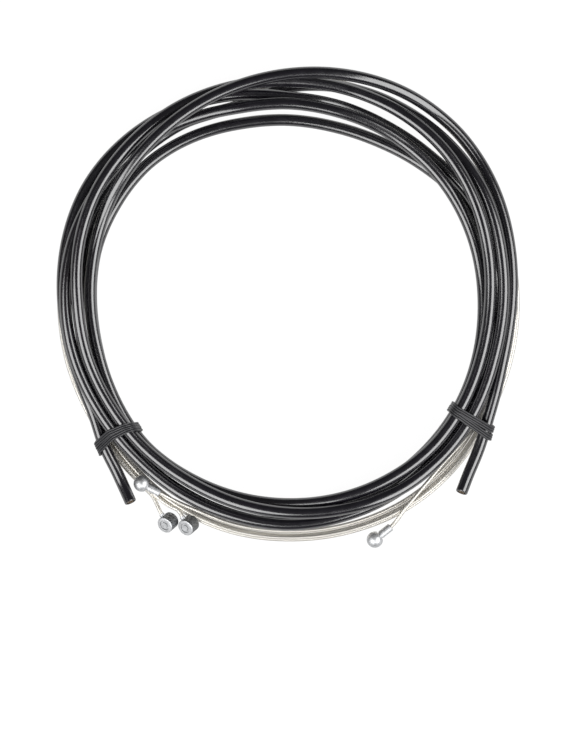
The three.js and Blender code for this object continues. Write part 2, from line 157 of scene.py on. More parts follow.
coilMiddle = Vector((0.24676, 2.20214, 0))     # where the middle of the coil lies in the frame
tube = {
    "diameter": 5, "bore": 3.9, "boreDepth": 6.9, "gap": 0.3, "edge": 0.2,
    "sides": 28, "ringStep": 2,
}
strandWire = {"diameter": 1.6, "gap": 0.15, "sides": 16, "ringStep": 1.5}
wirePitch = strandWire["diameter"] + strandWire["gap"]
head = {
    "barrelDiameter": 7, "barrelLength": 5.6,
    "barrelFace": Vector((-0.5, -0.42, 0.755)).normalized(),
    "pearDiameter": 6.8, "pearHeight": 6.8, "shankDiameter": 3.5, "shankLength": 5.4,
    "neckDiameter": 2.9, "neckLength": 0.5, "wireInside": 2.7,
}
# where a pear is held clear of the wires under it, in shares of the way from its ball to its shank
pearChecks = {"first": -0.4, "step": 0.2, "count": 8, "ballEnd": 0.5}
tie = {"width": 2.7, "thickness": 0.8, "ridge": 0.2, "clearance": 0.3, "secondWrapRise": 0.15}
settle = {
    "stationStep": 7.5, "layStep": 15, "checks": (0, 0.25, 0.5, 0.75, 1),
    "rounds": 80, "tolerance": 0.001, "liftedReach": 8,
}
tieLift = tie["clearance"] + tie["thickness"] + tie["ridge"] + tie["secondWrapRise"]

# each turn of the housing, clockwise from housingStart in steps of layStep
turnRadii = [
    [102, 102, 102, 100.2, 93.2, 92.3, 93.6, 95.5, 96.6, 95.4, 92.7, 89,
     85.1, 84.3, 83.9, 84.7, 87.4, 88, 87.6, 87.6, 87.6, 88.2, 89.9, 90.9],
    [91.7, 91, 90.4, 89.7, 90.2, 91.4, 92.4, 92.9, 92, 90.2, 86.7, 83.2,
     82.2, 81.4, 81.5, 81.4, 81.1, 80.8, 80.6, 81.2, 82.3, 83.3, 84.4, 85.5],
    [86.2, 85.4, 84.7, 84.3, 83.5, 81.9, 82.2, 83.2, 83, 82.4, 80, 77.4,
     76.2, 75.8, 77.1, 80.2, 83.8, 84, 83.5, 83.2, 83.9, 86.4, 88.8, 90.7],
    [91.7, 90.9, 90, 89.6, 88.8, 87.3, 87.6, 88.5, 88.3, 87.8, 86.8, 84.6,
     89.7, 92.4, 93.3, 93.4, 92.6, 90.1, 88.4, 87.6, 88.6, 89.4, 89.5, 87.9],
    [86.5, 85.3, 84.4, 84.6, 85, 86.2, 87.2, 89.7, 91.7, 92.5, 92.8, 92.2,
     91.5, 91.5, 91.2, 90.1, 87.6, 84.9, 82.9, 82.3, 83, 83.8, 83.6, 83.3],
    [83.1, 83.2, 83.4, 83.8, 82.6, 81.7, 82.3, 83.6, 85.2, 86.7, 88.8, 91.3,
     94, 96.8, 99.2, 99.6, 97.5, 94.4, 92, 91.5, 95.2, 103, 108, 108],
]
turnLayers = [     # which lies over which, 6 on top
    "222222222222222222222222",
    "333333333333333333333222",
    "111111111111111111111111",
    "111111111111144444444666",
    "555555555555555555555555",
    "444444446666666333333333",
]
housingStart = 270
housingTurned = (45, 5 * 360 + 307.5)
housingLayer = 10     # added to its layers, because all of it lies over the inner wires
startTail = [(231.5, 105.2, 3.1), (226.5, 101.2, 0.3)]     # angle, radius, rise above the lay
stopTail = [(316, 102.8, 1), (312.3, 105.8, 3.1)]
laneRadii = [
    93, 93, 92.6, 91.7, 92.1, 92.1, 91.7, 90.7, 91.3, 93.2, 93.6, 93.4,
    92.4, 92.1, 91.9, 93, 95, 96.3, 96.5, 96.7, 96.7, 95.5, 93.8, 93.2,
]
laneChange = {"seam": 236, "start": 0.15, "share": 0.8}     # where in a turn the wires move out a lane
longWire = {
    "name": "long_inner_wire", "layer": 1, "lane": 0, "first": 240, "last": 232.5 + 1080,
    "shifts": [1.35], "lifts": [6, 4.2, 2], "over": 2, "exit": (234.2, 97.9, 2.8),
    "shank": (235.8, 95.1), "ball": (230.65, 96.5), "barrel": (239.3, 102.6),
}
shortWire = {
    "name": "short_inner_wire", "layer": 2, "lane": wirePitch / 2, "first": 300, "last": 240 + 720,
    "shifts": [1.7, -1.5, -2.6, -1.4], "lifts": [3.4, 3.4], "over": 4, "exit": (241.7, 97.4, 4.2),
    "shank": (294.5, 102), "ball": (290.2, 104.3), "barrel": (243.9, 99.5),
}
ties = [     # each wrap's drift along the bundle at its inner and outer side, and how far out it lies
    {
        "name": "twist_tie_left", "angle": 217.3, "bow": 2,
        "wraps": [(-3.9, -1.5, 0), (-2.5, 1.3, tie["secondWrapRise"])],
    },
    {
        "name": "twist_tie_right", "angle": 327.4, "bow": 0,
        "wraps": [(-0.9, -1.6, 0), (0.9, 1.6, tie["secondWrapRise"])],
    },
]


def wrapAngle(angle):
    return angle % 360


def liftAt(angle):
    for each in ties:
        turn = wrapAngle(angle - each["angle"])
        if min(turn, 360 - turn) <= settle["liftedReach"]:
            return tieLift
    return 0


def readSmoothly(values, at):
    i = min(max(math.floor(at), 0), len(values) - 2)
    t = at - i
    a = values[max(i - 1, 0)]
    b = values[i]
    c = values[i + 1]
    d = values[min(i + 2, len(values) - 1)]
    return 0.5 * (
        2 * b + (c - a) * t + (2 * a - 5 * b + 4 * c - d) * t ** 2
        + (3 * b - a - 3 * c + d) * t ** 3)


def placeAt(angle, radius, height):
    turn = math.radians(angle)
    return Vector((radius * math.cos(turn), radius * math.sin(turn), height))


def housingStations():
    radii = sum(turnRadii, [])
    layers = "".join(turnLayers)
    columns = len(turnLayers[0])
    stations = []
    turned = housingTurned[0]
    while turned <= housingTurned[1]:
        turn = int(turned // 360)
        column = min(columns - 1, math.floor((turned % 360) / settle["layStep"] + 0.5))
        stations.append({
            "angle": housingStart - turned,
            "radius": readSmoothly(radii, turned / settle["layStep"]),
            "floor": tube["diameter"] / 2 + liftAt(housingStart - turned),
            "layer": housingLayer + int(layers[turn * columns + column]),
            "turn": turn,
        })
        turned += settle["stationStep"]
    return {"diameter": tube["diameter"], "gap": tube["gap"], "stations": stations}


def laneAt(angle):
    ring = [laneRadii[-1]] + laneRadii + laneRadii[:2]
    middle = readSmoothly(ring, wrapAngle(angle) / settle["layStep"] + 1)
    turn = (angle - laneChange["seam"]) / 360
    whole = math.floor(turn)
    moved = (turn - whole - laneChange["start"]) / laneChange["share"]
    return middle + wirePitch * (whole - 1 + min(max(moved, 0), 1))


def wireStations(wire):
    stations = []
    angle = wire["first"]
    while angle <= wire["last"]:
        k = len(stations)
        shift = wire["shifts"][k] if k < len(wire["shifts"]) else 0
        lift = wire["lifts"][k] if k < len(wire["lifts"]) else 0
        stations.append({
            "angle": angle,
            "radius": laneAt(angle) + wire["lane"] + shift,
            "floor": max(strandWire["diameter"] / 2 + liftAt(angle), lift),
            "layer": 3 if k < wire["over"] else wire["layer"],
            "turn": int((angle - wire["first"]) // 360),
        })
        angle += settle["stationStep"]
    return {"diameter": strandWire["diameter"], "gap": strandWire["gap"], "stations": stations}


def layStrands(strands):
    spans = {}
    for k, strand in enumerate(strands):
        stations = strand["stations"]
        for station in stations:
            station["strand"] = k
            station["height"] = station["floor"]
        for one, two in zip(stations, stations[1:]):
            pair = sorted([one, two], key=lambda s: s["angle"])
            key = round(wrapAngle(pair[0]["angle"]) / settle["stationStep"])
            spans.setdefault(key, []).append(pair)
    for _ in range(settle["rounds"]):
        for strand in strands:
            for station in strand["stations"]:
                station["need"] = station["floor"]
        for span in spans.values():
            raiseSpan(span, strands)
        if max(smoothStrand(strand["stations"]) for strand in strands) < settle["tolerance"]:
            return
    raise RuntimeError("the strands do not settle")


def liesOver(upper, lower):
    if upper["layer"] != lower["layer"]:
        return upper["layer"] > lower["layer"]
    return upper["strand"] == lower["strand"] and upper["turn"] > lower["turn"]


def raiseSpan(span, strands):
    for upper in span:
        for lower in span:
            if upper is lower:
                continue
            over = strands[upper[0]["strand"]]
            under = strands[lower[0]["strand"]]
            reach = (over["diameter"] + under["diameter"]) / 2 + min(over["gap"], under["gap"])
            for share in settle["checks"]:
                end = 0 if share <= 0.5 else 1
                if not liesOver(upper[end], lower[end]):
                    continue
                first = upper[0]["radius"] - lower[0]["radius"]
                second = upper[1]["radius"] - lower[1]["radius"]
                aside = abs(first + (second - first) * share)
                if aside >= reach:
                    continue
                level = lower[0]["height"] + (lower[1]["height"] - lower[0]["height"]) * share
                need = level + math.sqrt(reach ** 2 - aside ** 2)
                for station in upper:
                    station["need"] = max(station["need"], need)


def smoothStrand(stations):
    needs = [s["need"] for s in stations]
    widened = [max(needs[max(i - 1, 0):i + 2]) for i in range(len(needs))]
    moved = 0
    for i, station in enumerate(stations):
        near = widened[max(i - 1, 0):i + 2]
        height = sum(near) / len(near)
        moved = max(moved, abs(height - station["height"]))
        station["height"] = height
    return moved


def sectionAt(strands, angle):
    circles = []
    for strand in strands:
        stations = strand["stations"]
        for one, two in zip(stations, stations[1:]):
            low, high = sorted([one, two], key=lambda s: s["angle"])
            share = wrapAngle(angle - low["angle"]) / (high["angle"] - low["angle"])
            if share <= 1:
                radius = low["radius"] + (high["radius"] - low["radius"]) * share
                height = low["height"] + (high["height"] - low["height"]) * share
                circles.append((radius, height, strand["diameter"] / 2))
    return circles


def pearLevel(wire, strands):
    level = head["pearDiameter"] / 2
    for k in range(pearChecks["count"]):
        share = pearChecks["first"] + pearChecks["step"] * k
        inBall = share < pearChecks["ballEnd"] - 1e-9
        size = head["pearDiameter"] if inBall else head["shankDiameter"]
        angle = wire["ball"][0] + (wire["shank"][0] - wire["ball"][0]) * share
        middle = wire["ball"][1] + (wire["shank"][1] - wire["ball"][1]) * share
        for radius, height, half in sectionAt(strands, angle):
            reach = size / 2 + half + tube["gap"]
            if abs(radius - middle) < reach:
                level = max(level, height + math.sqrt(reach ** 2 - (radius - middle) ** 2))
    return level


housing = housingStations()
longStrand = wireStations(longWire)
shortStrand = wireStations(shortWire)
layStrands([housing, longStrand, shortStrand])


def stationPoints(strand):
    return [placeAt(s["angle"], s["radius"], s["height"]) for s in strand["stations"]]


def housingRoute():
    first = housing["stations"][0]["height"]
    last = housing["stations"][-1]["height"]
    start = [placeAt(angle, radius, first + rise) for angle, radius, rise in startTail]
    stop = [placeAt(angle, radius, last + rise) for angle, radius, rise in stopTail]
    return start + stationPoints(housing) + stop


def wireRoute(wire, strand):
    level = pearLevel(wire, [longStrand, shortStrand])
    shankEnd = placeAt(*wire["shank"], level)
    toBall = (placeAt(*wire["ball"], level) - shankEnd).normalized()
    face = head["barrelFace"]
    radius = head["barrelDiameter"] / 2
    centreHeight = head["barrelLength"] / 2 * face.z + radius * math.sqrt(1 - face.z ** 2)
    before = placeAt(*wire["exit"])
    attach = placeAt(*wire["barrel"], centreHeight)
    outwards = attach - before
    outwards = (outwards - face * outwards.dot(face)).normalized()
    centre = attach + outwards * radius
    centre.z = centreHeight
    attach = centre - outwards * radius
    inside = head["wireInside"]
    route = [shankEnd + toBall * inside, shankEnd] + stationPoints(strand)
    route += [before, attach, attach + outwards * inside]
    return {
        "route": route, "shankEnd": shankEnd, "toBall": toBall,
        "barrelCentre": centre, "outwards": outwards,
    }


print("lay: the strands have settled")

# materials

def addSocket(group, name, way, kind="NodeSocketFloat", value=None):
    socket = group.interface.new_socket(name=name, in_out=way, socket_type=kind)
    if value is not None:
        socket.default_value = value


def mathNode(nodes, links, operation, *values):
    node = nodes.new("ShaderNodeMath")
    node.operation = operation
    for i, value in enumerate(values):
        if isinstance(value, (int, float)):
            node.inputs[i].default_value = value
        else:
            links.new(value, node.inputs[i])
    return node.outputs[0]


def makeHelixGroup():
    # a phase from 0 to 1 that winds round a tube, read from its UV map, which is in millimetres along
    group = bpy.data.node_groups.new("helix", "ShaderNodeTree")
    addSocket(group, "Strands", "INPUT", value=12)
    addSocket(group, "Spacing", "INPUT", value=1)
    addSocket(group, "Phase", "OUTPUT")
    addSocket(group, "Round", "OUTPUT")
    nodes = group.nodes
    links = group.links
    entry = nodes.new("NodeGroupInput")
    leave = nodes.new("NodeGroupOutput")
    places = nodes.new("ShaderNodeTexCoord")
    split = nodes.new("ShaderNodeSeparateXYZ")
    links.new(places.outputs["UV"], split.inputs[0])
    along = mathNode(nodes, links, "DIVIDE", split.outputs["X"], entry.outputs["Spacing"])
    around = mathNode(nodes, links, "MULTIPLY", split.outputs["Y"], entry.outputs["Strands"])
    phase = mathNode(nodes, links, "FRACT", mathNode(nodes, links, "ADD", along, around))
    signed = mathNode(nodes, links, "MULTIPLY_ADD", phase, 2, -1)
    square = mathNode(nodes, links, "MULTIPLY", signed, signed)
    rise = mathNode(nodes, links, "SQRT", mathNode(nodes, links, "SUBTRACT", 1, square))
    links.new(phase, leave.inputs["Phase"])
    links.new(rise, leave.inputs["Round"])
    return group


grainShape = {"detail": 4, "roughness": 0.6, "from": 0.3, "to": 0.7}


def makeGrainGroup():
    # fine uneven shine and colour, as handled plastic and drawn or cast metal have
    group = bpy.data.node_groups.new("surfaceGrain", "ShaderNodeTree")
    addSocket(group, "Scale", "INPUT", value=400)
    addSocket(group, "Low", "INPUT", value=0.2)
    addSocket(group, "High", "INPUT", value=0.3)
    addSocket(group, "Value", "OUTPUT")
    addSocket(group, "Height", "OUTPUT")
    nodes = group.nodes
    links = group.links
    entry = nodes.new("NodeGroupInput")
    leave = nodes.new("NodeGroupOutput")
    places = nodes.new("ShaderNodeTexCoord")
    grain = nodes.new("ShaderNodeTexNoise")
    grain.inputs["Detail"].default_value = grainShape["detail"]
    grain.inputs["Roughness"].default_value = grainShape["roughness"]
    links.new(places.outputs["Object"], grain.inputs["Vector"])
    links.new(entry.outputs["Scale"], grain.inputs["Scale"])
    spread = nodes.new("ShaderNodeMapRange")
    spread.inputs["From Min"].default_value = grainShape["from"]
    spread.inputs["From Max"].default_value = grainShape["to"]
    links.new(grain.outputs["Fac"], spread.inputs["Value"])
    links.new(entry.outputs["Low"], spread.inputs["To Min"])
    links.new(entry.outputs["High"], spread.inputs["To Max"])
    links.new(spread.outputs["Result"], leave.inputs["Value"])
    links.new(grain.outputs["Fac"], leave.inputs["Height"])
    return group


helixGroup = makeHelixGroup()
grainGroup = makeGrainGroup()


def startMaterial(name):
    material = bpy.data.materials.new(name)
    material.use_nodes = True
    nodes = material.node_tree.nodes
    links = material.node_tree.links
    return material, nodes, links, nodes["Principled BSDF"]


def placeGroup(nodes, group, **values):
    node = nodes.new("ShaderNodeGroup")
    node.node_tree = group
    for name, value in values.items():
        node.inputs[name].default_value = value
    return node


def colourFrom(nodes, links, factor, finish):
    ramp = nodes.new("ShaderNodeValToRGB")
    for element, place, colour in zip(
            ramp.color_ramp.elements, finish["spread"], (finish["dark"], finish["light"])):
        element.position = place
        element.color = (*colour, 1)
    links.new(factor, ramp.inputs["Fac"])
    return ramp.outputs["Color"]


def bumpFrom(nodes, links, height, depth):
    bump = nodes.new("ShaderNodeBump")
    bump.inputs["Strength"].default_value = 1
    bump.inputs["Distance"].default_value = depth * mm
    links.new(height, bump.inputs["Height"])
    return bump.outputs["Normal"]


jacketFinish = {
    "dark": (0.0038, 0.0030, 0.0062), "light": (0.0062, 0.0050, 0.0098), "spread": (0.35, 0.65),
    "ior": 1.65, "specular": 1, "coat": 1, "coatIor": 1.65, "coatRough": 0.15,
    "smooth": 0.2, "rough": 0.27, "grain": 260, "grainShare": 0.5,
    "windingPitch": 1.3, "depth": 0.0005,
}
# the dark colour is painted shade in the seams between the strands, the light one is on their crowns
wireFinish = {
    "dark": (0.60, 0.58, 0.53), "light": (0.95, 0.92, 0.86), "spread": (0.25, 0.75),
    "strands": 12, "strandSpacing": 1.15, "smooth": 0.4, "rough": 0.52, "grain": 900, "depth": 0.02,
}
headFinish = {
    "dark": (0.72, 0.73, 0.745), "light": (0.88, 0.89, 0.905), "spread": (0.35, 0.65),
    "metallic": 1, "smooth": 0.46, "rough": 0.56, "grain": 900, "depth": 0.005,
}
# a darker copy of the head's metal, painted shade on the barrel's side faces
sideShadeFinish = {
    "dark": (0.16, 0.165, 0.17), "light": (0.36, 0.37, 0.38), "spread": (0.35, 0.65),
    "metallic": 1, "smooth": 0.4, "rough": 0.55, "grain": 1400, "depth": 0.02,
}
windingFinish = {
    "dark": (0.14, 0.115, 0.09), "light": (0.36, 0.31, 0.25), "spread": (0.35, 0.65),
    "metallic": 1, "smooth": 0.35, "rough": 0.5, "grain": 1200, "depth": 0.01,
}
linerFinish = {
    "dark": (0.10, 0.07, 0.045), "light": (0.27, 0.21, 0.15), "spread": (0.35, 0.65),
    "metallic": 0, "smooth": 0.45, "rough": 0.6, "grain": 1500, "depth": 0.01,
}
# the dark colour is painted shade in the grooves between the ribs, the light one is on their tops
tieFinish = {
    "dark": (0.006, 0.006, 0.007), "light": (0.065, 0.065, 0.07), "spread": (0.45, 1),
    "smooth": 0.24, "rough": 0.34, "grain": 1100, "depth": 0.12,
    "ribs": 3, "ribSpacing": 1000,     # so far apart along the ribbon that they run straight
}


def grainFor(nodes, finish):
    return placeGroup(
        nodes, grainGroup, Scale=finish["grain"], Low=finish["smooth"], High=finish["rough"])


def makeJacketMaterial():
    # the winding under the jacket shows through it as faint rings
    finish = jacketFinish
    material, nodes, links, shader = startMaterial("glossyJacket")
    grain = grainFor(nodes, finish)
    winding = placeGroup(nodes, helixGroup, Strands=1, Spacing=finish["windingPitch"])
    shader.inputs["IOR"].default_value = finish["ior"]
    shader.inputs["Specular IOR Level"].default_value = finish["specular"]
    shader.inputs["Coat IOR"].default_value = finish["coatIor"]
    shader.inputs["Coat Weight"].default_value = finish["coat"]
    shader.inputs["Coat Roughness"].default_value = finish["coatRough"]
    links.new(grain.outputs["Value"], shader.inputs["Roughness"])
    links.new(colourFrom(nodes, links, grain.outputs["Height"], finish), shader.inputs["Base Color"])
    turned = mathNode(nodes, links, "MULTIPLY", winding.outputs["Phase"], 2 * math.pi)
    rings = mathNode(nodes, links, "COSINE", turned)
    height = mathNode(
        nodes, links, "MULTIPLY_ADD", grain.outputs["Height"], finish["grainShare"], rings)
    links.new(bumpFrom(nodes, links, height, finish["depth"]), shader.inputs["Normal"])
    return material


def makeWireMaterial():
    finish = wireFinish
    material, nodes, links, shader = startMaterial("strandedWire")
    shader.inputs["Metallic"].default_value = 1
    grain = grainFor(nodes, finish)
    strands = placeGroup(
        nodes, helixGroup, Strands=finish["strands"], Spacing=finish["strandSpacing"])
    links.new(grain.outputs["Value"], shader.inputs["Roughness"])
    # painted shade: the colour darkens into the seams between the strands, from the same rounded profile
    # as their bump
    links.new(colourFrom(nodes, links, strands.outputs["Round"], finish), shader.inputs["Base Color"])
    links.new(bumpFrom(nodes, links, strands.outputs["Round"], finish["depth"]), shader.inputs["Normal"])
    return material


def makePlainMaterial(name, finish):
    material, nodes, links, shader = startMaterial(name)
    shader.inputs["Metallic"].default_value = finish["metallic"]
    grain = grainFor(nodes, finish)
    links.new(grain.outputs["Value"], shader.inputs["Roughness"])
    links.new(colourFrom(nodes, links, grain.outputs["Height"], finish), shader.inputs["Base Color"])
    links.new(bumpFrom(nodes, links, grain.outputs["Height"], finish["depth"]), shader.inputs["Normal"])
    return material


def makeTieMaterial():
    # painted shade darkens the grooves between the ribs against their tops, by the UV map across the
    # ribbon
    finish = tieFinish
    material, nodes, links, shader = startMaterial("ribbedTie")
    grain = grainFor(nodes, finish)
    ribs = placeGroup(nodes, helixGroup, Strands=finish["ribs"], Spacing=finish["ribSpacing"])
    links.new(grain.outputs["Value"], shader.inputs["Roughness"])
    links.new(colourFrom(nodes, links, ribs.outputs["Round"], finish), shader.inputs["Base Color"])
    links.new(bumpFrom(nodes, links, ribs.outputs["Round"], finish["depth"]), shader.inputs["Normal"])
    return material


jacketMaterial = makeJacketMaterial()
wireMaterial = makeWireMaterial()
headMaterial = makePlainMaterial("castHead", headFinish)
sideShadeMaterial = makePlainMaterial("barrelSideShade", sideShadeFinish)
windingMaterial = makePlainMaterial("flatWire", windingFinish)
linerMaterial = makePlainMaterial("waxyLiner", linerFinish)
tieMaterial = makeTieMaterial()
print("finishes: seven materials are made")

# cords, swept as tubes along their routes

def refineRoute(points, step):
    # a smooth line through the points, with a point about every step along it
    spans = [(b - a).length for a, b in zip(points, points[1:])]
    slopes = []
    for i in range(len(points)):
        if i == 0:
            slopes.append((points[1] - points[0]) / spans[0])
        elif i == len(points) - 1:
            slopes.append((points[-1] - points[-2]) / spans[-1])
        else:
            before, after = spans[i - 1], spans[i]
            into = (points[i] - points[i - 1]) / before
            onwards = (points[i + 1] - points[i]) / after
            slopes.append((into * after + onwards * before) / (before + after))
    line = []
    for i, span in enumerate(spans):
        pieces = max(2, round(span / step))
        for k in range(pieces):
            t = k / pieces
            line.append(
                points[i] * (2 * t ** 3 - 3 * t ** 2 + 1)
                + slopes[i] * (span * (t ** 3 - 2 * t ** 2 + t))
                + points[i + 1] * (3 * t ** 2 - 2 * t ** 3)
                + slopes[i + 1] * (span * (t ** 3 - t ** 2)))
    line.append(points[-1].copy())
    return line


def ringsAlong(line, radius):
    rings = []
    travelled = 0
    for i, centre in enumerate(line):
        before = line[max(i - 1, 0)]
        after = line[min(i + 1, len(line) - 1)]
        along = (after - before).normalized()
        side = along.cross(Vector((0, 0, 1))).normalized()
        if i:
            travelled += (centre - line[i - 1]).length
        rings.append({
            "centre": centre, "side": side, "up": side.cross(along),
            "radius": radius, "travelled": travelled,
        })
    return rings


creaseAngles = {"cord": 40, "fitting": 35, "tie": 50}     # in degrees, past which an edge stays sharp


def addTube(name, rings, sides, material):
    # one closed skin through all the rings, with millimetres along and turns round as its UV map
    vertices = []
    for ring in rings:
        for k in range(sides):
            turn = 2 * math.pi * k / sides
            out = ring["side"] * math.cos(turn) + ring["up"] * math.sin(turn)
            vertices.append((ring["centre"] + out * ring["radius"] + coilMiddle) * mm)
    faces = []
    for i in range(len(rings) - 1):
        near, far = i * sides, (i + 1) * sides
        for k in range(sides):
            after = (k + 1) % sides
            faces.append((near + k, near + after, far + after, far + k))
    faces.append(tuple(reversed(range(sides))))
    faces.append(tuple(range((len(rings) - 1) * sides, len(rings) * sides)))
    mesh = bpy.data.meshes.new(name)
    mesh.from_pydata(vertices, [], faces)
    layer = mesh.uv_layers.new(name="UVMap")
    places = []
    for i in range(len(rings) - 1):
        for k in range(sides):
            near, far = rings[i]["travelled"], rings[i + 1]["travelled"]
            places += [near, k / sides, near, (k + 1) / sides, far, (k + 1) / sides, far, k / sides]
    for ring in (rings[0], rings[-1]):
        for k in range(sides):
            places += [ring["travelled"], k / sides]
    layer.data.foreach_set("uv", places)
    mesh.materials.append(material)
    piece = bpy.data.objects.new(name, mesh)
    scene.collection.objects.link(piece)
    smoothPiece(piece, creaseAngles["cord"])
    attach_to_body(piece, "root")
    return piece


def selectOnly(piece):
    bpy.ops.object.select_all(action="DESELECT")
    piece.select_set(True)
    bpy.context.view_layer.objects.active = piece


def smoothPiece(piece, angle):
    selectOnly(piece)
    bpy.ops.object.shade_smooth_by_angle(angle=math.radians(angle))


def lengthOf(line):
    return sum((b - a).length for a, b in zip(line, line[1:]))


def inFrame(point):
    return (point + coilMiddle) * mm


def boredRings(rings):
    # from the bottom of one bore out over its end face, along the jacket, and into the other end's bore
    def intoBore(fromEnd):
        end = fromEnd[0]
        deep = [r for r in fromEnd if abs(r["travelled"] - end["travelled"]) < tube["boreDepth"]]
        inner = [dict(r, radius=tube["bore"] / 2) for r in deep]
        face = dict(end, radius=end["radius"] - tube["edge"])
        inwards = (fromEnd[1]["centre"] - end["centre"]).normalized()
        shoulder = dict(end, centre=end["centre"] + inwards * tube["edge"])
        return list(reversed(inner)) + [face, shoulder]
    start = intoBore(rings)
    stop = intoBore(list(reversed(rings)))
    return start + rings[1:-1] + list(reversed(stop))


def addHousing():
    line = refineRoute(housingRoute(), tube["ringStep"])
    rings = boredRings(ringsAlong(line, tube["diameter"] / 2))
    jacket = addTube("jacket", rings, tube["sides"], jacketMaterial)
    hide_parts("housing_jacket")
    for side, tip, after in (("left", line[0], line[1]), ("right", line[-1], line[-2])):
        inwards = (after - tip).normalized()
        addWinding(side, tip, inwards)
        addLiner(side, tip, inwards)
    print(f"housing: {lengthOf(line) / 1000:.2f} m of it in the coil")


# the open ends of the housing

openEnd = {
    "length": 6.6, "inset": 0.15, "clearance": 0.12,
    "flatWireWidth": 1.5, "flatWirePitch": 1.9, "flatWireWall": 0.45, "stepsPerTurn": 28,
    "linerWall": 0.2, "linerSides": 32,
}


def applyModifier(piece, name):
    selectOnly(piece)
    bpy.ops.object.modifier_apply(modifier=name)


def standAt(piece, place, axis, across=None):
    # stand a piece that was made upright at the origin on its place, with its own place put in its mesh
    axis = axis.normalized()
    if across is None:
        turned = axis.to_track_quat("Z", "Y").to_matrix().to_4x4()
    else:
        turned = Matrix((across, axis.cross(across), axis)).transposed().to_4x4()
    piece.matrix_world = Matrix.Translation(inFrame(place)) @ turned
    selectOnly(piece)
    bpy.ops.object.transform_apply(location=True, rotation=True, scale=True)


def finishPiece(piece, name, materials, node, angle=creaseAngles["fitting"]):
    piece.name = name
    piece.data.name = name
    for material in materials:
        piece.data.materials.append(material)
    smoothPiece(piece, angle)
    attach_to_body(piece, "root")
    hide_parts(node)
    return piece


def addWinding(side, tip, inwards):
    outer = tube["bore"] / 2 - openEnd["clearance"]
    wall = openEnd["flatWireWall"]
    turns = (openEnd["length"] - openEnd["flatWireWidth"]) / openEnd["flatWirePitch"]
    bpy.ops.object.select_all(action="DESELECT")
    bpy.ops.mesh.primitive_plane_add(size=1, rotation=(math.pi / 2, 0, 0))
    piece = bpy.context.object
    width = openEnd["flatWireWidth"]
    piece.scale = (wall * mm, width * mm, 1)
    piece.location = ((outer - wall / 2) * mm, 0, width / 2 * mm)
    bpy.ops.object.transform_apply(location=True, rotation=True, scale=True)
    winding = piece.modifiers.new("winding", "SCREW")
    winding.axis = "Z"
    winding.angle = 2 * math.pi * turns
    winding.screw_offset = turns * openEnd["flatWirePitch"] * mm
    winding.steps = round(openEnd["stepsPerTurn"] * turns)
    winding.render_steps = winding.steps
    applyModifier(piece, "winding")
    bpy.ops.object.mode_set(mode="EDIT")
    bpy.ops.mesh.select_all(action="SELECT")
    bpy.ops.mesh.remove_doubles(threshold=1e-6)
    bpy.ops.mesh.fill_holes(sides=4)
    bpy.ops.mesh.select_all(action="SELECT")
    bpy.ops.mesh.normals_make_consistent(inside=False)
    bpy.ops.object.mode_set(mode="OBJECT")
    standAt(piece, tip + inwards * openEnd["inset"], inwards)
    return finishPiece(
        piece, f"{side}Winding", [windingMaterial], f"housing_winding_{side}")


def addLiner(side, tip, inwards):
    outer = tube["bore"] / 2 - 2 * openEnd["clearance"] - openEnd["flatWireWall"]
    bpy.ops.object.select_all(action="DESELECT")
    bpy.ops.mesh.primitive_cylinder_add(
        vertices=openEnd["linerSides"], radius=outer * mm, depth=openEnd["length"] * mm,
        end_fill_type="NOTHING", location=(0, 0, openEnd["length"] / 2 * mm))
    piece = bpy.context.object
    bpy.ops.object.transform_apply(location=True, rotation=True, scale=True)
    wall = piece.modifiers.new("wall", "SOLIDIFY")
    wall.thickness = openEnd["linerWall"] * mm
    wall.offset = -1
    applyModifier(piece, "wall")
    standAt(piece, tip, inwards)
    return finishPiece(piece, f"{side}Liner", [linerMaterial], f"housing_liner_{side}")


# the heads at the ends of the inner wires

headShape = {
    "sides": 56, "wireHole": 1.1, "wireHoleDepth": 3, "wireHoleSides": 32, "drillOutside": 1,
    "barrelEdge": 0.4, "edgeRows": 4, "hub": 1.2, "groove": 0.9, "grooveDepth": 0.3, "slope": 0.12,
    "ridges": 7, "ridgeDepth": 0.07,
    "ballStart": -50, "ballRows": 28, "shankEdge": 0.3, "shoulder": 0.05,
}


def pickFaces(piece, wanted):
    bpy.ops.mesh.select_mode(type="FACE")
    bpy.ops.mesh.select_all(action="DESELECT")
    shape = bmesh.from_edit_mesh(piece.data)
    for face in shape.faces:
        if wanted(face):
            face.select_set(True)
    bmesh.update_edit_mesh(piece.data)


def pickEdges(piece, wanted):
    bpy.ops.mesh.select_mode(type="EDGE")
    bpy.ops.mesh.select_all(action="DESELECT")
    shape = bmesh.from_edit_mesh(piece.data)
    for edge in shape.edges:
        if wanted(edge):
            edge.select_set(True)
    bmesh.update_edit_mesh(piece.data)


def drillWireHole(piece, start, direction):
    depth = headShape["wireHoleDepth"]
    reach = depth + headShape["drillOutside"]
    bpy.ops.object.select_all(action="DESELECT")
    bpy.ops.mesh.primitive_cylinder_add(
        vertices=headShape["wireHoleSides"], radius=headShape["wireHole"] * mm, depth=reach * mm)
    drill = bpy.context.object
    drill.matrix_world = (
        Matrix.Translation((start + direction * (depth - reach / 2)) * mm)
        @ direction.to_track_quat("Z", "Y").to_matrix().to_4x4())
    hole = piece.modifiers.new("hole", "BOOLEAN")
    hole.object = drill
    hole.solver = "EXACT"
    applyModifier(piece, "hole")
    bpy.data.objects.remove(drill)


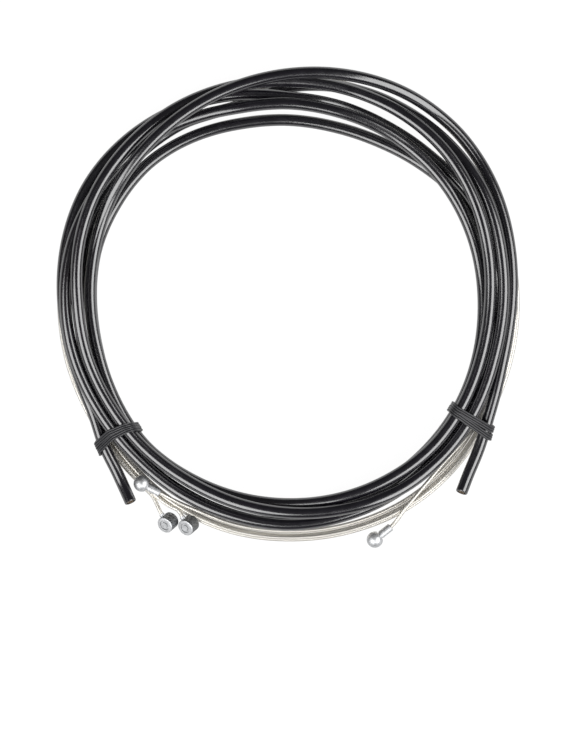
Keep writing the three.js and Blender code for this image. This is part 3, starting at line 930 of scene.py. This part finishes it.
def addBarrel(name, place):
    radius = head["barrelDiameter"] / 2
    half = head["barrelLength"] / 2
    bpy.ops.object.select_all(action="DESELECT")
    bpy.ops.mesh.primitive_cylinder_add(
        vertices=headShape["sides"], radius=radius * mm, depth=2 * half * mm)
    piece = bpy.context.object
    bpy.ops.object.mode_set(mode="EDIT")
    # fine ridges round the side
    pickEdges(piece, lambda e: abs((e.verts[0].co - e.verts[1].co).z) > half * mm)
    bpy.ops.mesh.subdivide(number_cuts=2 * headShape["ridges"] + 1)
    step = 2 * half / (2 * headShape["ridges"] + 2)
    pickEdges(piece, lambda e: all(
        abs(v.co.z) < (half - 1.5 * step) * mm and round((v.co.z / mm + half) / step) % 2 == 0
        for v in e.verts))
    shrink = 1 - headShape["ridgeDepth"] / radius
    bpy.ops.transform.resize(value=(shrink, shrink, 1), center_override=(0, 0, 0))
    # the rounded rim, and the sunken ring and hub on each face
    pickEdges(piece, lambda e: all(
        abs(abs(v.co.z) - half * mm) < 1e-6 and v.co.xy.length > radius * 0.99 * mm for v in e.verts))
    bpy.ops.mesh.bevel(
        offset=headShape["barrelEdge"] * mm, segments=headShape["edgeRows"], affect="EDGES")
    pickFaces(piece, lambda f: abs(f.normal.z) > 0.99 and f.calc_area() > (mm * radius) ** 2)
    flatRadius = radius - headShape["barrelEdge"]
    ring = headShape["hub"] + headShape["groove"]
    slope = headShape["slope"]
    bpy.ops.mesh.inset(thickness=(flatRadius - ring) * mm, use_individual=True)
    bpy.ops.mesh.inset(thickness=slope * mm, depth=-headShape["grooveDepth"] * mm, use_individual=True)
    bpy.ops.mesh.inset(thickness=(headShape["groove"] - 2 * slope) * mm, use_individual=True)
    bpy.ops.mesh.inset(thickness=slope * mm, depth=headShape["grooveDepth"] * mm, use_individual=True)
    bpy.ops.object.mode_set(mode="OBJECT")
    # the side faces take the darker copy of the head's metal as painted shade
    for face in piece.data.polygons:
        face.material_index = 1 if abs(face.normal.z) < 0.5 else 0
    drillWireHole(piece, Vector((-radius, 0, 0)), Vector((1, 0, 0)))
    standAt(piece, place["barrelCentre"], head["barrelFace"], place["outwards"])
    return finishPiece(piece, f"{name}Barrel", [headMaterial, sideShadeMaterial], place["barrelNode"])


def addPear(name, place):
    ballStart = math.radians(headShape["ballStart"])
    radius = head["pearDiameter"] / 2
    neckTop = head["shankLength"] + head["neckLength"]
    centre = neckTop - math.sin(ballStart) * head["pearHeight"] / 2
    bpy.ops.object.select_all(action="DESELECT")
    bpy.ops.mesh.primitive_uv_sphere_add(
        segments=headShape["sides"], ring_count=headShape["ballRows"], radius=radius * mm,
        location=(0, 0, centre * mm))
    piece = bpy.context.object
    bpy.ops.object.transform_apply(location=True, rotation=True, scale=True)
    bpy.ops.object.mode_set(mode="EDIT")
    bpy.ops.mesh.select_all(action="SELECT")
    bpy.ops.transform.resize(
        value=(1, 1, head["pearHeight"] / head["pearDiameter"]), center_override=(0, 0, centre * mm))
    bpy.ops.mesh.bisect(
        plane_co=(0, 0, neckTop * mm), plane_no=(0, 0, 1), use_fill=True, clear_inner=True)
    # the neck and the shank are drawn out of the cut face
    pickFaces(piece, lambda f: f.normal.z < -0.99 and f.calc_center_median().z < (neckTop + 0.01) * mm)
    cutRadius = math.cos(ballStart) * radius
    neck, shank = head["neckDiameter"] / 2, head["shankDiameter"] / 2
    bpy.ops.mesh.inset(thickness=(cutRadius - neck) * mm, use_individual=True)
    shoulder, edge = headShape["shoulder"], headShape["shankEdge"]
    steps = [     # how far down, and the radius before and after
        (head["neckLength"], neck, neck), (shoulder, neck, shank),
        (head["shankLength"] - shoulder - edge, shank, shank), (edge, shank, shank - edge),
    ]
    for drop, before, after in steps:
        bpy.ops.mesh.extrude_region_move(TRANSFORM_OT_translate={"value": (0, 0, -drop * mm)})
        bpy.ops.transform.resize(value=(after / before, after / before, 1))
    bpy.ops.object.mode_set(mode="OBJECT")
    drillWireHole(piece, Vector((0, 0, 0)), Vector((0, 0, 1)))
    standAt(piece, place["shankEnd"], place["toBall"])
    return finishPiece(piece, f"{name}Pear", [headMaterial], place["pearNode"])


def addInnerWire(wire, strand, name):
    place = wireRoute(wire, strand)
    place["barrelNode"] = f"{wire['name']}_barrel_head"
    place["pearNode"] = f"{wire['name']}_pear_head"
    line = refineRoute(place["route"], strandWire["ringStep"])
    rings = ringsAlong(line, strandWire["diameter"] / 2)
    piece = addTube(name, rings, strandWire["sides"], wireMaterial)
    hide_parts(wire["name"])
    heads = [addBarrel(name, place), addPear(name, place)]
    print(f"{name}: {lengthOf(line) / 1000:.2f} m with a head at each end")


# the twist ties

tieShape = {
    "directions": 64, "ribs": 3, "ribPoints": 6, "backShare": 0.55, "slant": 0.7, "clearance": 0.2,
    "spread": 3.3,     # how far either way along the bundle the strands are read, in degrees
}


def tautLine(circles, clearance):
    # where a taut ribbon touches the strands, for each way that it can face
    line = []
    for k in range(tieShape["directions"]):
        turn = 2 * math.pi * k / tieShape["directions"]
        faceX, faceZ = math.cos(turn), math.sin(turn)
        radius, height, half = max(circles, key=lambda c: c[0] * faceX + c[1] * faceZ + c[2])
        reach = half + clearance
        line.append((radius + faceX * reach, height + faceZ * reach, (faceX, faceZ)))
    return line


def ribbonProfile():
    # (out, across): a flat back and rounded ribs along the front
    width = tie["width"]
    back = tie["thickness"] * tieShape["backShare"]
    points = [(0, width / 2), (0, -width / 2), (back, -width / 2)]
    count = tieShape["ribs"] * tieShape["ribPoints"]
    for k in range(1, count):
        share = k / count
        rib = abs(math.sin(math.pi * share * tieShape["ribs"]))
        points.append((tie["thickness"] + tie["ridge"] * rib, width * (share - 0.5)))
    points.append((back, width / 2))
    return points


def addTie(each):
    strands = [housing, longStrand, shortStrand]
    spread = tieShape["spread"]
    before, line, after = (
        tautLine(sectionAt(strands, each["angle"] + shift), tieShape["clearance"])
        for shift in (-spread, 0, spread))
    profile = ribbonProfile()
    inner = min(c[0] for c in line)
    outer = max(c[0] for c in line)
    turned = math.radians(each["angle"])
    outwards = Vector((math.cos(turned), math.sin(turned), 0))
    across = Vector((math.sin(turned), -math.cos(turned), 0))
    vertices, faces, places = [], [], []
    for innerDrift, outerDrift, rise in each["wraps"]:
        base = len(vertices)
        for i, (x, z, (faceX, faceZ)) in enumerate(line):
            share = (x - inner) / (outer - inner)
            drift = innerDrift + (outerDrift - innerDrift) * share
            drift += tieShape["slant"] * faceZ + each["bow"] * 4 * share * (1 - share)
            for out, aside in profile:
                # the strands run aslant here, so the ribbon's two edges lie on them differently
                degrees = -math.degrees((aside + drift) / x)
                near = after[i] if degrees > 0 else before[i]
                blend = abs(degrees) / spread
                reach = x + (near[0] - x) * blend + faceX * (out + rise)
                place = outwards * reach + across * (aside + drift)
                place.z = z + (near[1] - z) * blend + faceZ * (out + rise)
                vertices.append(inFrame(place))
        width = len(profile)
        for i in range(len(line)):
            following = (i + 1) % len(line)
            for k in range(width):
                beside = (k + 1) % width
                faces.append((
                    base + i * width + k, base + following * width + k,
                    base + following * width + beside, base + i * width + beside))
                near, far = (0.5 + profile[m][1] / tie["width"] for m in (k, beside))
                places += [0, near, 0, near, 0, far, 0, far]
    mesh = bpy.data.meshes.new(each["name"])
    mesh.from_pydata(vertices, [], faces)
    layer = mesh.uv_layers.new(name="UVMap")
    layer.data.foreach_set("uv", places)
    piece = bpy.data.objects.new(each["name"], mesh)
    scene.collection.objects.link(piece)
    selectOnly(piece)
    bpy.ops.object.mode_set(mode="EDIT")
    bpy.ops.mesh.select_all(action="SELECT")
    bpy.ops.mesh.normals_make_consistent(inside=False)
    bpy.ops.object.mode_set(mode="OBJECT")
    name = "leftTie" if "left" in each["name"] else "rightTie"
    finishPiece(piece, name, [tieMaterial], each["name"], creaseAngles["tie"])


addHousing()
addInnerWire(longWire, longStrand, "longWire")
addInnerWire(shortWire, shortStrand, "shortWire")
for each in ties:
    addTie(each)
print("ties: both are drawn taut")
